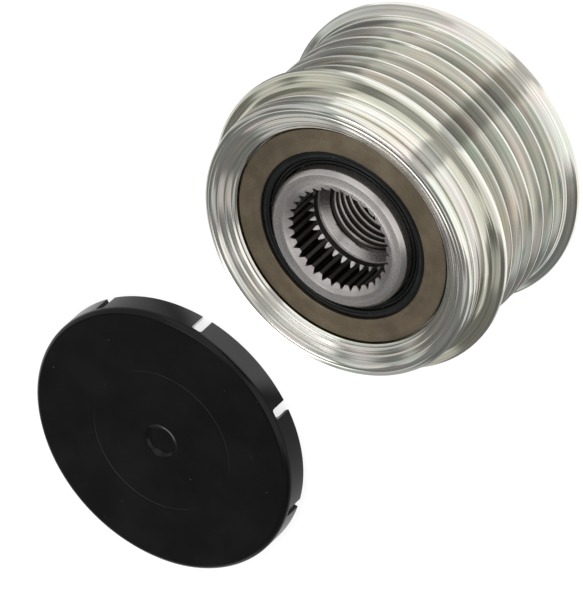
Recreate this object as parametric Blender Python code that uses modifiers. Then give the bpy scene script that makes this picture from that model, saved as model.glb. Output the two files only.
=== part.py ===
"""Overrunning alternator pulley for a six-groove ribbed belt, standing on its rear face.

A grooved steel pulley turns round a splined hub on two roller bearings. Between the
bearings a one-way roller clutch drives the hub in one sense and lets it run ahead in the
other. A lip seal closes each end, and the plastic dust cap lies beside it, taken off.
"""

import math

import bmesh
import bpy
from mathutils import Matrix

# Sizes are in metres, and every height is measured up from the pulley's rear face.
# The radii build outwards from the hub's threaded bore, so each wall is stated once.
CLEARANCE = 0.0003
ROUND_STEPS = 48
ROLLER_STEPS = 14
EDGE_STEPS = 3
SHARP_ANGLE = math.radians(35)
MERGE_DISTANCE = 0.00001
CUTTER_MARGIN = 0.001

# Hub, from its threaded bore out: spline socket, countersink, front face and journal
THREAD_BORE_RADIUS = 0.0076
THREAD_LEAD_IN = 0.0016
PILOT_BORE_STEP = 0.001
PILOT_BORE_DEPTH = 0.006
SPLINE_SHELF_WIDTH = 0.0017
SPLINE_TEETH = 33
SPLINE_DEPTH = 0.0008
SPLINE_GROOVE_SHARE = 0.62
SPLINE_LENGTH = 0.0073
SPLINE_RUNOUT = 0.001
COUNTERSINK_WIDTH = 0.0016
COUNTERSINK_HALF_ANGLE = math.radians(60)
HUB_FACE_WIDTH = 0.0018
HUB_EDGE_CHAMFER = 0.00075
HUB_FRONT_DROP = 0.00085
HUB_REAR_RECESS = 0.0004

# Roller bearings and the clutch between them
BEARING_ROLLER_DIAMETER = 0.004
BEARING_ROLLER_COUNT = 12
BEARING_CAGE_LENGTH = 0.0075
BEARING_CAGE_WALL = 0.0024
CAGE_RIM = 0.0008
CLUTCH_ROLLER_DIAMETER = 0.0024
CLUTCH_ROLLER_COUNT = 8
RAMP_RISE = 0.00065
RAMP_DROP = 0.00035
RAMP_STEPS = 6
SPRING_LENGTH = 0.0014
SPRING_SPREAD = 0.0012
SPRING_THICKNESS = 0.00028
SPRING_FOLD_DEPTH = 0.00042
RACE_WALL = 0.00175

# Seals, alike at both ends
SEAL_LEDGE = 0.00085
SEAL_RING_THICKNESS = 0.0011
SEAL_RING_WIDTH = 0.00435
SEAL_BODY_THICKNESS = 0.0011
SEAL_LIP_WIDTH = 0.0013
SEAL_LIP_HEIGHT = 0.0007
FRONT_SEAL_DROP = 0.00245
REAR_SEAL_RECESS = 0.0012
SEAT_CHAMFER = 0.0003
REAR_BORE_CHAMFER = 0.00064

# Belt track and flanges
PULLEY_WALL = 0.0039
RIB_PITCH = 0.00356
GROOVE_COUNT = 6
GROOVE_DEPTH = 0.0034
GROOVE_HALF_ANGLE = math.radians(20)
RIB_TIP_WIDTH = 0.0005
FLANGE_RISE = 0.0016
FRONT_FLANGE_WIDTH = 0.00045
FRONT_FLANGE_BEVEL = 0.0005
FLANGE_ROUND_WIDTH = 0.0007
FLANGE_ROUND_HEIGHT = 0.00115
REAR_FLANGE_WIDTH = 0.0009
REAR_FLANGE_EDGE = 0.0003
REAR_FLANGE_BEVEL = 0.0005
REAR_FLANGE_SLOPE = 0.0009
REAR_LAND_WIDTH = 0.00112

# Nose in front of the belt track: face, fillet, band, recess, ridge, snap groove and rim
RIM_WALL = 0.00545
RIM_WIDTH = 0.00071
RIM_CROWN_HEIGHT = 0.00065
RIM_CROWN_WIDTH = 0.0017
SNAP_GROOVE_DEPTH = 0.0004
SNAP_GROOVE_FLOOR = 0.0004
SNAP_GROOVE_LEAD = 0.0001
RIDGE_RISE = 0.0001
RIDGE_WIDTH = 0.0006
RECESS_DEPTH = 0.00025
RECESS_LEAD = 0.0002
RECESS_WIDTH = 0.0011
NOSE_BAND_WIDTH = 0.0019
FILLET_WIDTH = 0.0005
FILLET_HEIGHT = 0.0008
FILLET_CURVE = 0.3
FLANGE_FACE_SLOPE = 0.0008

# Dust cap, which snaps over the rim into the snap groove
CAP_TOP_THICKNESS = 0.001
CAP_SKIRT_WALL = 0.0008
CAP_HEIGHT = 0.0053
CAP_EDGE = 0.0006
CAP_BEAD_HEIGHT = 0.0003
CAP_BEAD_WIDTH = 0.0006
CAP_NOTCH_COUNT = 8
CAP_NOTCH_WIDTH = 0.002
CAP_NOTCH_HEIGHT = 0.004
CAP_DIMPLE_RADIUS = 0.0034
CAP_DIMPLE_DEPTH = 0.0004
CAP_DISTANCE = 0.096
CAP_SIDE_SHIFT = 0.005

# Radii of the ring stack, from the hub's bore outwards
pilot_bore_radius = THREAD_BORE_RADIUS + PILOT_BORE_STEP
spline_minor_radius = THREAD_BORE_RADIUS + SPLINE_SHELF_WIDTH
hub_face_inner = spline_minor_radius + COUNTERSINK_WIDTH
hub_face_outer = hub_face_inner + HUB_FACE_WIDTH
journal_radius = hub_face_outer + HUB_EDGE_CHAMFER
roller_pitch_radius = journal_radius + CLEARANCE + BEARING_ROLLER_DIAMETER / 2
race_inner_radius = roller_pitch_radius + BEARING_ROLLER_DIAMETER / 2 + CLEARANCE
race_outer_radius = race_inner_radius + RACE_WALL
pulley_bore_radius = race_outer_radius + CLEARANCE
seal_seat_radius = pulley_bore_radius + SEAL_LEDGE
seal_ring_outer = seal_seat_radius - CLEARANCE
seal_ring_inner = seal_ring_outer - SEAL_RING_WIDTH
groove_floor_radius = pulley_bore_radius + PULLEY_WALL
rib_radius = groove_floor_radius + GROOVE_DEPTH
flange_radius = rib_radius + FLANGE_RISE
rim_radius = seal_seat_radius + RIM_WALL
snap_groove_radius = rim_radius - SNAP_GROOVE_DEPTH
ridge_radius = rim_radius + RIDGE_RISE
recess_radius = rim_radius - RECESS_DEPTH

# Heights of the belt track and the nose, from the rear face up
rear_flange_top = REAR_FLANGE_BEVEL + REAR_FLANGE_WIDTH
rear_flange_front = rear_flange_top + REAR_FLANGE_EDGE
rear_slope_foot = rear_flange_front + REAR_FLANGE_SLOPE
rear_land_top = rear_slope_foot + REAR_LAND_WIDTH
groove_half_width = (RIB_PITCH - RIB_TIP_WIDTH) / 2
first_groove = rear_land_top + groove_half_width
last_groove = first_groove + (GROOVE_COUNT - 1) * RIB_PITCH
flange_wall_rise = FLANGE_RISE - FLANGE_ROUND_WIDTH
flange_overhang = flange_wall_rise * math.tan(GROOVE_HALF_ANGLE)
front_flange_rear = last_groove + groove_half_width + flange_overhang
front_flange_bottom = front_flange_rear + FLANGE_ROUND_HEIGHT
front_flange_top = front_flange_bottom + FRONT_FLANGE_WIDTH
flange_face_edge = front_flange_top + FRONT_FLANGE_BEVEL
fillet_bottom = flange_face_edge + FLANGE_FACE_SLOPE
fillet_top = fillet_bottom + FILLET_HEIGHT
nose_band_top = fillet_top + NOSE_BAND_WIDTH
recess_bottom = nose_band_top + RECESS_LEAD
recess_top = recess_bottom + RECESS_WIDTH
ridge_bottom = recess_top + RECESS_LEAD
ridge_top = ridge_bottom + RIDGE_WIDTH
snap_groove_bottom = ridge_top + SNAP_GROOVE_LEAD
snap_groove_top = snap_groove_bottom + SNAP_GROOVE_FLOOR
rim_bottom = snap_groove_top + SNAP_GROOVE_LEAD
rim_top = rim_bottom + RIM_WIDTH
pulley_length = rim_top + RIM_CROWN_HEIGHT

# Heights of what the bore holds
front_seal_top = pulley_length - FRONT_SEAL_DROP
front_ledge = front_seal_top - SEAL_RING_THICKNESS
rear_ledge = REAR_SEAL_RECESS + SEAL_RING_THICKNESS
front_cage_top = front_ledge - SEAL_BODY_THICKNESS - CLEARANCE
front_cage_bottom = front_cage_top - BEARING_CAGE_LENGTH
rear_cage_bottom = rear_ledge + SEAL_BODY_THICKNESS + CLEARANCE
rear_cage_top = rear_cage_bottom + BEARING_CAGE_LENGTH
clutch_bottom = rear_cage_top + CLEARANCE
clutch_top = front_cage_bottom - CLEARANCE
hub_front = pulley_length - HUB_FRONT_DROP

# The clutch's rollers roll on the race, just clear of the ramps
ramp_contact_radius = race_inner_radius - 2 * CLEARANCE - CLUTCH_ROLLER_DIAMETER
ramp_peak_radius = ramp_contact_radius + RAMP_RISE
clutch_pitch_radius = race_inner_radius - CLEARANCE - CLUTCH_ROLLER_DIAMETER / 2
clutch_sector = 2 * math.pi / CLUTCH_ROLLER_COUNT
ramp_share_at_roller = RAMP_DROP / (RAMP_DROP + RAMP_RISE)
clutch_roller_angle = clutch_sector * ramp_share_at_roller * (RAMP_STEPS - 1) / RAMP_STEPS

# The dust cap's own radii, and its place beside the pulley on the same floor
cap_inner_radius = rim_radius + CLEARANCE
cap_outer_radius = cap_inner_radius + CAP_SKIRT_WALL
cap_underside = CAP_HEIGHT - CAP_TOP_THICKNESS
cap_bead_radius = rim_radius - CAP_BEAD_HEIGHT
cap_bead_middle = cap_underside - (pulley_length - (snap_groove_bottom + snap_groove_top) / 2)
axis_y = -(CAP_DISTANCE + cap_outer_radius - flange_radius) / 2
axis_x = (CAP_SIDE_SHIFT + cap_outer_radius - flange_radius) / 2


def start_scene():
    """Empties the scene and makes the two collections and the axis empty."""
    for old in list(bpy.data.objects):
        bpy.data.objects.remove(old)
    made = {}
    for name in ("alternator_pulley", "cutters"):
        made[name] = bpy.data.collections.new(name)
        bpy.context.scene.collection.children.link(made[name])
    axis = bpy.data.objects.new("pulley_axis", None)
    axis.location = (axis_x, axis_y, 0)
    made["alternator_pulley"].objects.link(axis)
    return made["alternator_pulley"], made["cutters"], axis


parts, cutters, pulley_axis = start_scene()


def plain_material(name, colour, roughness, metallic):
    """A Principled material with one colour."""
    material = bpy.data.materials.new(name)
    material.use_nodes = True
    shader = material.node_tree.nodes["Principled BSDF"]
    shader.inputs["Base Color"].default_value = (*colour, 1)
    shader.inputs["Roughness"].default_value = roughness
    shader.inputs["Metallic"].default_value = metallic
    return material


def place(name, data, colour, roughness, metallic, parent=pulley_axis):
    """Puts mesh or curve data into the scene as a finished part with its own material."""
    part = bpy.data.objects.new(name, data)
    data.materials.append(plain_material(name, colour, roughness, metallic))
    part.parent = parent
    parts.objects.link(part)
    return part


def profile_mesh(name, points, closed=True):
    """A profile in the XZ plane: down the outer side, then back up the inner side."""
    mesh = bpy.data.meshes.new(name)
    edges = [(i, i + 1) for i in range(len(points) - 1)]
    if closed:
        edges.append((len(points) - 1, 0))
    mesh.from_pydata([(radius, 0, height) for radius, height in points], edges, [])
    return mesh


def turn(part, steps=ROUND_STEPS):
    """Turns a part's profile about its own Z axis."""
    screw = part.modifiers.new("turned", "SCREW")
    screw.steps = steps
    screw.render_steps = steps
    screw.use_merge_vertices = True
    screw.merge_threshold = MERGE_DISTANCE
    screw.use_smooth_shade = True


def rounded_edge(radius, height, width, drop):
    """Profile points of a rounded outer edge, from its top down to the outer side."""
    points = []
    for i in range(EDGE_STEPS + 1):
        angle = i / EDGE_STEPS * math.pi / 2
        across = width * (1 - math.sin(angle))
        down = drop * (1 - math.cos(angle))
        points.append((radius - across, height - down))
    return points


def cut(part, cutter):
    """Takes a cutter out of a part and hides it from the render."""
    boolean = part.modifiers.new("cut by " + cutter.name, "BOOLEAN")
    boolean.operation = "DIFFERENCE"
    boolean.solver = "EXACT"
    boolean.object = cutter
    cutter.hide_render = True
    cutter.display_type = "WIRE"
    cutter.parent = part.parent
    cutters.objects.link(cutter)


def mesh_from(name, form):
    """A mesh from a finished bmesh."""
    mesh = bpy.data.meshes.new(name)
    form.to_mesh(mesh)
    form.free()
    return mesh


def cutter_from(name, form):
    """A cutter object from a finished bmesh."""
    return bpy.data.objects.new(name, mesh_from(name, form))


def prism(steps, low, high, radius_and_angle):
    """An upright prism whose corner number i stands at radius_and_angle(i)."""
    form = bmesh.new()
    bmesh.ops.create_cone(
        form, cap_ends=True, segments=steps, radius1=1, radius2=1, depth=high - low
    )
    middle = (low + high) / 2
    for vertex in form.verts:
        corner = round(math.atan2(vertex.co.y, vertex.co.x) / (2 * math.pi) * steps) % steps
        radius, angle = radius_and_angle(corner)
        vertex.co.x = radius * math.cos(angle)
        vertex.co.y = radius * math.sin(angle)
        vertex.co.z += middle
    return form


def ring_of_boxes(count, first_angle, low, high, inner, outer, start, end):
    """Boxes round the Z axis, from inner to outer radius and start to end along the turn."""
    form = bmesh.new()
    for i in range(count):
        size = Matrix.Diagonal((outer - inner, end - start, high - low, 1))
        place_box = Matrix.Translation(((inner + outer) / 2, (start + end) / 2, (low + high) / 2))
        turned = Matrix.Rotation(first_angle + i * 2 * math.pi / count, 4, "Z")
        bmesh.ops.create_cube(form, size=1, matrix=turned @ place_box @ size)
    return form


def groove_points():
    """The belt track from its front end to its rear end, four corners to each groove."""
    floor_half_width = groove_half_width - GROOVE_DEPTH * math.tan(GROOVE_HALF_ANGLE)
    points = []
    for i in reversed(range(GROOVE_COUNT)):
        middle = first_groove + i * RIB_PITCH
        if i < GROOVE_COUNT - 1:
            points.append((rib_radius, middle + groove_half_width))
        points.append((groove_floor_radius, middle + floor_half_width))
        points.append((groove_floor_radius, middle - floor_half_width))
        points.append((rib_radius, middle - groove_half_width))
    return points


def make_belt_pulley():
    rim = rounded_edge(rim_radius, pulley_length, RIM_CROWN_WIDTH, RIM_CROWN_HEIGHT)
    nose = [
        (rim_radius, rim_bottom),
        (snap_groove_radius, snap_groove_top),
        (snap_groove_radius, snap_groove_bottom),
        (ridge_radius, ridge_top),
        (ridge_radius, ridge_bottom),
        (recess_radius, recess_top),
        (recess_radius, recess_bottom),
        (rim_radius, nose_band_top),
        (rim_radius, fillet_top),
        (rim_radius + FILLET_WIDTH * FILLET_CURVE, fillet_bottom + FILLET_HEIGHT * FILLET_CURVE),
        (rim_radius + FILLET_WIDTH, fillet_bottom),
        (flange_radius - FRONT_FLANGE_BEVEL, flange_face_edge),
        (flange_radius, front_flange_top),
    ]
    rounding = rounded_edge(flange_radius, 0, FLANGE_ROUND_WIDTH, FLANGE_ROUND_HEIGHT)
    flange_rear = [(radius, front_flange_rear - down) for radius, down in reversed(rounding)]
    rear = [
        (rib_radius, rear_slope_foot),
        (flange_radius - REAR_FLANGE_EDGE, rear_flange_front),
        (flange_radius, rear_flange_top),
        (flange_radius, REAR_FLANGE_BEVEL),
        (flange_radius - REAR_FLANGE_BEVEL, 0),
    ]
    bore = [
        (seal_seat_radius + REAR_BORE_CHAMFER, 0),
        (seal_seat_radius, REAR_BORE_CHAMFER),
        (seal_seat_radius, rear_ledge),
        (pulley_bore_radius, rear_ledge),
        (pulley_bore_radius, front_ledge),
        (seal_seat_radius, front_ledge),
        (seal_seat_radius, front_seal_top + SEAT_CHAMFER),
        (seal_seat_radius + SEAT_CHAMFER, front_seal_top + 2 * SEAT_CHAMFER),
    ]
    outside = rim + nose + flange_rear + groove_points() + rear
    mesh = profile_mesh("belt_pulley", outside + bore)
    turn(place("belt_pulley", mesh, (0.66, 0.66, 0.62), 0.28, 1))


def make_outer_race():
    low = rear_ledge + CLEARANCE
    high = front_ledge - CLEARANCE
    points = [
        (race_outer_radius, high),
        (race_outer_radius, low),
        (race_inner_radius, low),
        (race_inner_radius, high),
    ]
    mesh = profile_mesh("clutch_outer_race", points)
    turn(place("clutch_outer_race", mesh, (0.55, 0.55, 0.55), 0.3, 1))


def make_seal(end, face, outward):
    """A steel ring on its ledge and the rubber lip seal bonded to its inner face."""
    inner_face = face - outward * SEAL_RING_THICKNESS
    ring = [
        (seal_ring_outer, max(face, inner_face)),
        (seal_ring_outer, min(face, inner_face)),
        (seal_ring_inner, min(face, inner_face)),
        (seal_ring_inner, max(face, inner_face)),
    ]
    mesh = profile_mesh(end + "_seal_ring", ring)
    turn(place(end + "_seal_ring", mesh, (0.13, 0.115, 0.085), 0.45, 1))
    lip_inner = journal_radius + CLEARANCE
    lip_outer = seal_ring_inner - CLEARANCE
    lip = [
        (lip_outer, inner_face + outward * SEAL_LIP_HEIGHT),
        (lip_outer, inner_face),
        (race_inner_radius - CLEARANCE, inner_face),
        (race_inner_radius - CLEARANCE, inner_face - outward * SEAL_BODY_THICKNESS),
        (lip_inner + SEAL_LIP_WIDTH / 2, inner_face - outward * SEAL_BODY_THICKNESS),
        (lip_inner, inner_face),
        (lip_inner, inner_face + outward * SEAL_LIP_HEIGHT / 2),
        (lip_outer - SEAL_LIP_WIDTH, inner_face + outward * SEAL_LIP_HEIGHT),
    ]
    if outward < 0:
        lip.reverse()
    mesh = profile_mesh(end + "_seal_lip", lip)
    turn(place(end + "_seal_lip", mesh, (0.02, 0.021, 0.023), 0.45, 0))


def make_inner_ring():
    countersink_depth = COUNTERSINK_WIDTH / math.tan(COUNTERSINK_HALF_ANGLE)
    spline_bottom = hub_front - SPLINE_LENGTH
    shelf = spline_bottom - SPLINE_RUNOUT
    points = [
        (hub_face_inner, hub_front),
        (hub_face_outer, hub_front),
        (journal_radius, hub_front - HUB_EDGE_CHAMFER),
        (journal_radius, HUB_REAR_RECESS + HUB_EDGE_CHAMFER),
        (hub_face_outer, HUB_REAR_RECESS),
        (pilot_bore_radius, HUB_REAR_RECESS),
        (pilot_bore_radius, HUB_REAR_RECESS + PILOT_BORE_DEPTH),
        (THREAD_BORE_RADIUS, HUB_REAR_RECESS + PILOT_BORE_DEPTH + THREAD_LEAD_IN),
        (THREAD_BORE_RADIUS, shelf - THREAD_LEAD_IN),
        (spline_minor_radius, shelf),
        (spline_minor_radius, hub_front - countersink_depth),
    ]
    hub = place("inner_ring", profile_mesh("inner_ring", points), (0.42, 0.4, 0.39), 0.35, 1)
    turn(hub, 2 * SPLINE_TEETH)

    tooth_pitch = 2 * math.pi / SPLINE_TEETH
    crossing = spline_minor_radius - CLEARANCE / 2
    growth = (SPLINE_DEPTH + CLEARANCE / 2) / SPLINE_DEPTH

    def serration(corner):
        tooth, place_in_tooth = divmod(corner + 1, 3)
        side = place_in_tooth - 1
        radius = crossing if side else spline_minor_radius + SPLINE_DEPTH
        return radius, (tooth + side * SPLINE_GROOVE_SHARE / 2 * growth) * tooth_pitch

    form = prism(3 * SPLINE_TEETH, spline_bottom, hub_front + CUTTER_MARGIN, serration)
    cut(hub, cutter_from("spline_cutter", form))


def make_bearing(end, low):
    """A cage with a ring of rollers, each roller on its own axis."""
    high = low + BEARING_CAGE_LENGTH
    cage_inner = roller_pitch_radius - BEARING_CAGE_WALL / 2
    cage_outer = roller_pitch_radius + BEARING_CAGE_WALL / 2
    points = [(cage_outer, high), (cage_outer, low), (cage_inner, low), (cage_inner, high)]
    mesh = profile_mesh(end + "_bearing_cage", points)
    cage = place(end + "_bearing_cage", mesh, (0.3, 0.27, 0.2), 0.5, 0)
    turn(cage)
    half_pocket = BEARING_ROLLER_DIAMETER / 2 + CLEARANCE
    form = ring_of_boxes(
        BEARING_ROLLER_COUNT,
        0,
        low + CAGE_RIM,
        high - CAGE_RIM,
        cage_inner - CUTTER_MARGIN,
        cage_outer + CUTTER_MARGIN,
        -half_pocket,
        half_pocket,
    )
    cut(cage, cutter_from(end + "_bearing_pockets", form))
    for i in range(BEARING_ROLLER_COUNT):
        make_roller(
            f"{end}_bearing_roller_{i + 1:02d}",
            BEARING_ROLLER_DIAMETER / 2,
            roller_pitch_radius,
            i * 2 * math.pi / BEARING_ROLLER_COUNT,
            low + CAGE_RIM + CLEARANCE,
            high - CAGE_RIM - CLEARANCE,
        )


def make_roller(name, radius, pitch_radius, angle, low, high):
    """A roller with its origin on its own axis, at mid length."""
    form = bmesh.new()
    bmesh.ops.create_cone(
        form,
        cap_ends=True,
        segments=ROLLER_STEPS,
        radius1=radius,
        radius2=radius,
        depth=high - low,
    )
    mesh = mesh_from(name, form)
    mesh.shade_smooth()
    mesh.set_sharp_from_angle(angle=SHARP_ANGLE)
    roller = place(name, mesh, (0.6, 0.6, 0.6), 0.2, 1)
    height = (low + high) / 2
    roller.location = (pitch_radius * math.cos(angle), pitch_radius * math.sin(angle), height)


def make_ramp_sleeve():
    """The sleeve pressed on the hub, whose outside has one ramp for each clutch roller."""

    def ramp(corner):
        share = corner % RAMP_STEPS / (RAMP_STEPS - 1)
        radius = ramp_contact_radius - RAMP_DROP + share * (RAMP_RISE + RAMP_DROP)
        return radius, corner * clutch_sector / RAMP_STEPS

    form = prism(CLUTCH_ROLLER_COUNT * RAMP_STEPS, clutch_bottom, clutch_top, ramp)
    mesh = mesh_from("clutch_ramp_sleeve", form)
    sleeve = place("clutch_ramp_sleeve", mesh, (0.5, 0.5, 0.5), 0.3, 1)

    def bore(corner):
        return journal_radius + CLEARANCE, corner * 2 * math.pi / ROUND_STEPS

    form = prism(ROUND_STEPS, clutch_bottom - CUTTER_MARGIN, clutch_top + CUTTER_MARGIN, bore)
    cut(sleeve, cutter_from("sleeve_bore", form))


def make_clutch():
    """The clutch cage, and in each of its pockets a roller and the leaf spring behind it."""
    make_ramp_sleeve()
    outer = race_inner_radius - 2 * CLEARANCE
    inner = ramp_peak_radius + CLEARANCE
    points = [(outer, clutch_top), (outer, clutch_bottom), (inner, clutch_bottom), (inner, clutch_top)]
    mesh = profile_mesh("clutch_cage", points)
    cage = place("clutch_cage", mesh, (0.3, 0.27, 0.2), 0.5, 0)
    turn(cage)
    pocket_end = CLUTCH_ROLLER_DIAMETER / 2 + CLEARANCE
    pocket_start = -pocket_end - SPRING_LENGTH - CLEARANCE
    form = ring_of_boxes(
        CLUTCH_ROLLER_COUNT,
        clutch_roller_angle,
        clutch_bottom + CAGE_RIM,
        clutch_top - CAGE_RIM,
        inner - CUTTER_MARGIN,
        outer + CUTTER_MARGIN,
        pocket_start,
        pocket_end,
    )
    cut(cage, cutter_from("clutch_pockets", form))
    low = clutch_bottom + CAGE_RIM + CLEARANCE
    high = clutch_top - CAGE_RIM - CLEARANCE
    for i in range(CLUTCH_ROLLER_COUNT):
        angle = clutch_roller_angle + i * clutch_sector
        name = f"clutch_roller_{i + 1}"
        make_roller(name, CLUTCH_ROLLER_DIAMETER / 2, clutch_pitch_radius, angle, low, high)
        make_spring(f"clutch_spring_{i + 1}", angle, pocket_start + CLEARANCE, low, high)


def make_spring(name, angle, start, low, high):
    """A leaf folded to a V, its fold against the cage and its open side to the roller."""
    tip = SPRING_SPREAD / 2
    outline = [
        (0, start),
        (tip, start + SPRING_LENGTH),
        (tip - SPRING_THICKNESS, start + SPRING_LENGTH),
        (0, start + SPRING_FOLD_DEPTH),
        (SPRING_THICKNESS - tip, start + SPRING_LENGTH),
        (-tip, start + SPRING_LENGTH),
    ]
    curve = bpy.data.curves.new(name, "CURVE")
    curve.dimensions = "2D"
    curve.fill_mode = "BOTH"
    curve.extrude = (high - low) / 2
    spline = curve.splines.new("POLY")
    spline.use_cyclic_u = True
    spline.points.add(len(outline) - 1)
    middle = (ramp_peak_radius + race_inner_radius) / 2
    for point, (across, along) in zip(spline.points, outline):
        point.co = (middle + across, along, 0, 1)
    spring = place(name, curve, (0.45, 0.45, 0.44), 0.35, 1)
    spring.rotation_euler.z = angle
    spring.location.z = (low + high) / 2


def make_dust_cap():
    bead_low = cap_bead_middle - CAP_BEAD_WIDTH / 2
    bead_high = cap_bead_middle + CAP_BEAD_WIDTH / 2
    dimple_floor = CAP_HEIGHT - CAP_DIMPLE_DEPTH
    dimple = [
        (0, dimple_floor),
        (CAP_DIMPLE_RADIUS - CAP_DIMPLE_DEPTH, dimple_floor),
        (CAP_DIMPLE_RADIUS, CAP_HEIGHT),
    ]
    edge = rounded_edge(cap_outer_radius, CAP_HEIGHT, CAP_EDGE, CAP_EDGE)
    skirt = [
        (cap_outer_radius, 0),
        (cap_inner_radius, 0),
        (cap_inner_radius, bead_low),
        (cap_bead_radius, cap_bead_middle),
        (cap_inner_radius, bead_high),
        (cap_inner_radius, cap_underside),
        (0, cap_underside),
    ]
    mesh = profile_mesh("dust_cap", dimple + edge + skirt, closed=False)
    cap = place("dust_cap", mesh, (0.012, 0.012, 0.011), 0.3, 0, parent=None)
    cap.location = (axis_x - CAP_SIDE_SHIFT, axis_y + CAP_DISTANCE, 0)
    turn(cap)
    form = ring_of_boxes(
        CAP_NOTCH_COUNT,
        math.pi / CAP_NOTCH_COUNT,
        -CUTTER_MARGIN,
        CAP_NOTCH_HEIGHT,
        cap_bead_radius - CUTTER_MARGIN,
        cap_outer_radius + CUTTER_MARGIN,
        -CAP_NOTCH_WIDTH / 2,
        CAP_NOTCH_WIDTH / 2,
    )
    notches = cutter_from("cap_notches", form)
    notches.location = cap.location
    cut(cap, notches)


make_belt_pulley()
make_outer_race()
make_seal("front", front_seal_top, 1)
make_seal("rear", REAR_SEAL_RECESS, -1)
make_inner_ring()
make_bearing("front", front_cage_bottom)
make_bearing("rear", rear_cage_bottom)
make_clutch()
make_dust_cap()
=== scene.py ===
# %% [markdown]
# # A grooved alternator pulley and its dust cap
#
# This notebook dresses a imported model of an overrunning alternator pulley. The imported model
# is the frame: it says where every piece is, in metres, and it can't be moved. The notebook
# adds the finely turned surfaces, the splined socket, the screw thread, the rubber seal,
# and the finishes: zinc plate, phosphated and bare steel, rubber and black plastic.
#
# The frame comes first, so that each piece made later can be put where it belongs.

# %% Load the imported model
import math

import bmesh
import bpy
from mathutils import Matrix, Vector


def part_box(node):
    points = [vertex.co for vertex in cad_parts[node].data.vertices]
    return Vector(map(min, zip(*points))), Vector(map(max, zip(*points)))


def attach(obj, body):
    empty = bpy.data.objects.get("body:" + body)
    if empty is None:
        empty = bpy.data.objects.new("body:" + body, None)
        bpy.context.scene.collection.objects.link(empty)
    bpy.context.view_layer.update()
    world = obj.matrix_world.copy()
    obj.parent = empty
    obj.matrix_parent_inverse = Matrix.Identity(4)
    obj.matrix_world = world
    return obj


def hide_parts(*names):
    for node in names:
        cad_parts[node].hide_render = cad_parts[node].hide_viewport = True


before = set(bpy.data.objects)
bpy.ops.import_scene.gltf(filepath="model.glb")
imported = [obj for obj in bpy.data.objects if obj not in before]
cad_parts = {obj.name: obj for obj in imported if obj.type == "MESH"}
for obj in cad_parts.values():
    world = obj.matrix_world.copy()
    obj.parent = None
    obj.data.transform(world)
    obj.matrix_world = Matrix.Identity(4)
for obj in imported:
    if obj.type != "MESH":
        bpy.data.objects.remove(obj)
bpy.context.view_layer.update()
MM = 0.001

# %% [markdown]
# ## Where the two objects stand
#
# Everything on the pulley is turned about one upright axis, and the cap about its own. Both
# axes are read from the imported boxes, so nothing has to be fitted by eye. Heights and radii
# in this notebook are in millimetres, as on a turner's drawing, and `MM` makes metres.

# %% The two axes
def middle_of(node):
    """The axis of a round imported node, as a point on the floor."""
    low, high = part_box(node)
    return Vector(((low.x + high.x) / 2, (low.y + high.y) / 2, 0))


PULLEY_AXIS = middle_of("belt_pulley")
CAP_AXIS = middle_of("dust_cap")
PULLEY_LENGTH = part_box("belt_pulley")[1].z / MM
print("pulley axis", PULLEY_AXIS, "cap axis", CAP_AXIS, "length", round(PULLEY_LENGTH, 3))

# %% [markdown]
# ## The camera
#
# The photograph looks down at 45 degrees, from far away, with the camera rolled over by more
# than half a turn, so the pulley seems to lie on its side. A long lens keeps the ellipses as
# flat as they are there. The three directions of the camera are written down as one matrix,
# and its place follows from where the front rim's middle sits in the picture.

# %% Set the camera
CAMERA_ELEVATION = math.radians(44.98)
CAMERA_ROLL = math.radians(227.37)
CAMERA_LENS = 420
RIM_SEEN = Vector((0.007631, -0.010026, 1.19525))
RIM_HEIGHT = 33.918


def add_object(name, data):
    """A new object in the scene."""
    piece = bpy.data.objects.new(name, data)
    bpy.context.scene.collection.objects.link(piece)
    return piece


def place_camera():
    """Puts the camera where the photograph was taken from."""
    away = Vector((0, -math.cos(CAMERA_ELEVATION), math.sin(CAMERA_ELEVATION)))
    level = Vector((1, 0, 0))
    upright = away.cross(level)
    right = math.cos(CAMERA_ROLL) * level + math.sin(CAMERA_ROLL) * upright
    up = away.cross(right)
    rim_middle = PULLEY_AXIS + Vector((0, 0, RIM_HEIGHT * MM))
    place = rim_middle - RIM_SEEN.x * right + RIM_SEEN.y * up + RIM_SEEN.z * away
    camera = add_object("camera", bpy.data.cameras.new("camera"))
    camera.data.lens = CAMERA_LENS
    camera.matrix_world = Matrix.Translation(place) @ Matrix((right, up, away)).transposed().to_4x4()
    bpy.context.scene.camera = camera
    bpy.context.scene.view_settings.view_transform = "Standard"
    return camera


camera = place_camera()
print("camera at", camera.matrix_world.translation)

# %% [markdown]
# ## Nodes in one line
#
# Materials, the floor and the light are all made of shader nodes. One small helper adds a
# node, sets its options and fills its inputs, where an input is a plain value or the output
# of another node. The others do sums, map a value to another range, mix two colours, make
# a mask between two values, and give a place's height and its distance from the axis.

# %% Helpers for shader nodes
def add_node(tree, kind, inputs=None, **options):
    """Adds a node; inputs maps a socket's name or number to a value or to another socket."""
    node = tree.nodes.new("ShaderNode" + kind)
    for name, value in options.items():
        setattr(node, name, value)
    for key, value in (inputs or {}).items():
        if isinstance(value, bpy.types.NodeSocket):
            tree.links.new(value, node.inputs[key])
        else:
            node.inputs[key].default_value = value
    return node


def calc(tree, operation, first, second=0.0, third=0.0):
    """The result of a sum on two or three values."""
    node = add_node(tree, "Math", {0: first, 1: second, 2: third}, operation=operation)
    return node.outputs[0]


def stepped(tree, value, low, high, from_low=0.0, from_high=1.0):
    """Maps a value from one range to another, with soft ends."""
    inputs = {"Value": value, "From Min": from_low, "From Max": from_high, "To Min": low, "To Max": high}
    return add_node(tree, "MapRange", inputs, interpolation_type="SMOOTHSTEP").outputs[0]


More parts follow.
